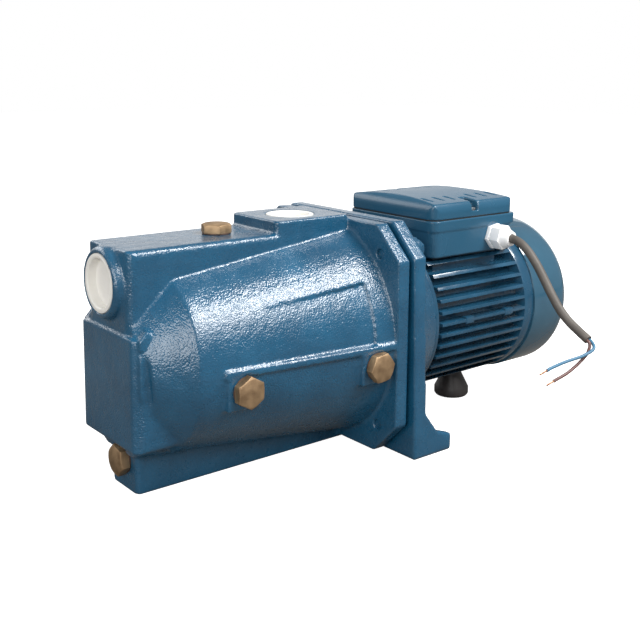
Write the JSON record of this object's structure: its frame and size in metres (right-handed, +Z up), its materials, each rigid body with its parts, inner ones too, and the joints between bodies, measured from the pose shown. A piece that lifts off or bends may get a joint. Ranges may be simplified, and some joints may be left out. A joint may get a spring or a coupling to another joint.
{
  "type": "shallow well jet pump",
  "caption": "Self-priming jet pump: ribbed cast-iron barrel with threaded suction and delivery ports, bolted through a footed bracket to a finned motor with terminal box and cable.",
  "frame": {"origin": "midway between the two foot bolts, on the surface the pump stands on", "axes": "+X along the shaft from the suction port to the fan, +Z up, +Y to the right when looking along +X from the suction end"},
  "size_m": [0.4715, 0.2799, 0.2085],
  "materials": {
    "blue_enamel_on_iron": "gloss blue enamel over cast iron",
    "white_plastic": "white moulded plastic",
    "brass": "matte forged brass",
    "fibre": "dark sealing fibre",
    "seal_rubber": "black nitrile rubber",
    "dark_plastic": "black glass-filled plastic",
    "zinc_steel": "zinc-plated steel",
    "steel": "machined steel",
    "carbon": "carbon seal ring",
    "bright_steel": "ground bright steel",
    "ceramic": "ceramic seal seat",
    "blue_enamel_on_steel": "gloss blue enamel over steel bolts and washers",
    "laminated_steel": "dark laminated steel",
    "blue_enamel_on_aluminium": "gloss blue enamel over die-cast aluminium",
    "winding": "varnished copper winding",
    "blue_enamel_on_sheet": "smooth gloss blue enamel over pressed sheet steel",
    "blue_plastic": "moulded blue plastic",
    "cream_plastic": "cream terminal plastic",
    "gland_plastic": "off-white nylon",
    "cable_rubber": "dark grey rubber jacket",
    "core_blue": "blue insulation",
    "core_brown": "brown insulation",
    "copper": "bare copper strands"
  },
  "bodies": {
    "pump": {"pump_body": "blue_enamel_on_iron", "nozzle": "brass", "nozzle_o_ring": "seal_rubber", "venturi": "dark_plastic", "venturi_o_ring": "seal_rubber", "diffuser": "dark_plastic", "diffuser_screws": "zinc_steel", "seal_seat": "ceramic", "seal_seat_cup": "seal_rubber", "bracket": "blue_enamel_on_iron", "body_o_ring": "seal_rubber", "flange_bolts": "blue_enamel_on_steel", "flange_bolt_washers": "blue_enamel_on_steel", "bearing_outer_rings": "bright_steel", "wave_spring": "bright_steel", "motor_casing": "blue_enamel_on_aluminium", "stator_core": "laminated_steel", "stator_windings": "winding", "rear_end_shield": "blue_enamel_on_aluminium", "tie_rods": "zinc_steel", "fan_cover": "blue_enamel_on_sheet", "fan_cover_screws": "zinc_steel", "terminal_box": "blue_plastic", "terminal_gasket": "seal_rubber", "terminal_block": "cream_plastic", "capacitor": "white_plastic", "terminal_box_screws": "zinc_steel", "gland_body": "gland_plastic", "gland_seal": "seal_rubber", "gland_nut": "gland_plastic", "rubber_foot": "seal_rubber", "foot_screw": "zinc_steel", "power_cable": "cable_rubber", "core_blue": "core_blue", "core_brown": "core_brown", "core_ends": "copper"},
    "rotor": {"shaft": "steel", "rotor_core": "laminated_steel", "bearing_inner_rings": "bright_steel", "bearing_balls": "bright_steel", "impeller": "brass", "impeller_key": "steel", "impeller_nut": "brass", "seal_rotary_ring": "carbon", "seal_spring": "bright_steel", "slinger": "seal_rubber", "fan": "dark_plastic", "fan_clip": "bright_steel"},
    "filling_washer_set": {"filling_plug_washer": "fibre"},
    "filling_plug_set": {"filling_plug": "brass"},
    "drain_washer_set": {"drain_plug_washer": "fibre"},
    "drain_plug_set": {"drain_plug": "brass"},
    "front_side_washer_set": {"front_side_washer": "fibre"},
    "front_side_plug_set": {"front_side_plug": "brass"},
    "rear_side_washer_set": {"rear_side_washer": "fibre"},
    "rear_side_plug_set": {"rear_side_plug": "brass"},
    "suction_cap": {"suction_cap": "white_plastic"},
    "delivery_cap": {"delivery_cap": "white_plastic"},
    "terminal_lid": {"terminal_cover": "blue_plastic", "cover_screws": "zinc_steel"}
  },
  "joints": [
    {"name": "shaft_spin", "type": "hinge", "parent": "pump", "child": "rotor", "pos_m": [0, 0, 0.1], "axis": [1, 0, 0], "continuous": true},
    {"name": "filling_plug_travel", "type": "slide", "parent": "pump", "child": "filling_washer_set", "axis": [0, 0, 1], "range_m": [0, 0.01004]},
    {"name": "filling_plug_turn", "type": "hinge", "parent": "filling_washer_set", "child": "filling_plug_set", "pos_m": [-0.149, 0, 0.191], "axis": [0, 0, 1], "range_deg": [0, 2700]},
    {"name": "drain_plug_travel", "type": "slide", "parent": "pump", "child": "drain_washer_set", "axis": [-1, 0, 0], "range_m": [0, 0.01004]},
    {"name": "drain_plug_turn", "type": "hinge", "parent": "drain_washer_set", "child": "drain_plug_set", "pos_m": [-0.234, 0, 0.0235], "axis": [-1, 0, 0], "range_deg": [0, 2700]},
    {"name": "front_side_plug_travel", "type": "slide", "parent": "pump", "child": "front_side_washer_set", "axis": [0, -1, 0], "range_m": [0, 0.01004]},
    {"name": "front_side_plug_turn", "type": "hinge", "parent": "front_side_washer_set", "child": "front_side_plug_set", "pos_m": [-0.174, 0, 0.086], "axis": [0, -1, 0], "range_deg": [0, 2700]},
    {"name": "rear_side_plug_travel", "type": "slide", "parent": "pump", "child": "rear_side_washer_set", "axis": [0, -1, 0], "range_m": [0, 0.01004]},
    {"name": "rear_side_plug_turn", "type": "hinge", "parent": "rear_side_washer_set", "child": "rear_side_plug_set", "pos_m": [-0.0565, 0, 0.086], "axis": [0, -1, 0], "range_deg": [0, 2700]},
    {"name": "suction_cap_pull", "type": "slide", "parent": "pump", "child": "suction_cap", "axis": [-1, 0, 0], "range_m": [0, 0.07]},
    {"name": "delivery_cap_pull", "type": "slide", "parent": "pump", "child": "delivery_cap", "axis": [0, 0, 1], "range_m": [0, 0.07]},
    {"name": "terminal_cover_lift", "type": "slide", "parent": "pump", "child": "terminal_lid", "axis": [0, 0, 1], "range_m": [0, 0.04]}
  ],
  "couplings": [
    {"joint": "filling_plug_travel", "follows": "filling_plug_turn", "m_per_rad": 0.00021279},
    {"joint": "drain_plug_travel", "follows": "drain_plug_turn", "m_per_rad": 0.00021279},
    {"joint": "front_side_plug_travel", "follows": "front_side_plug_turn", "m_per_rad": 0.00021279},
    {"joint": "rear_side_plug_travel", "follows": "rear_side_plug_turn", "m_per_rad": 0.00021279}
  ]
}
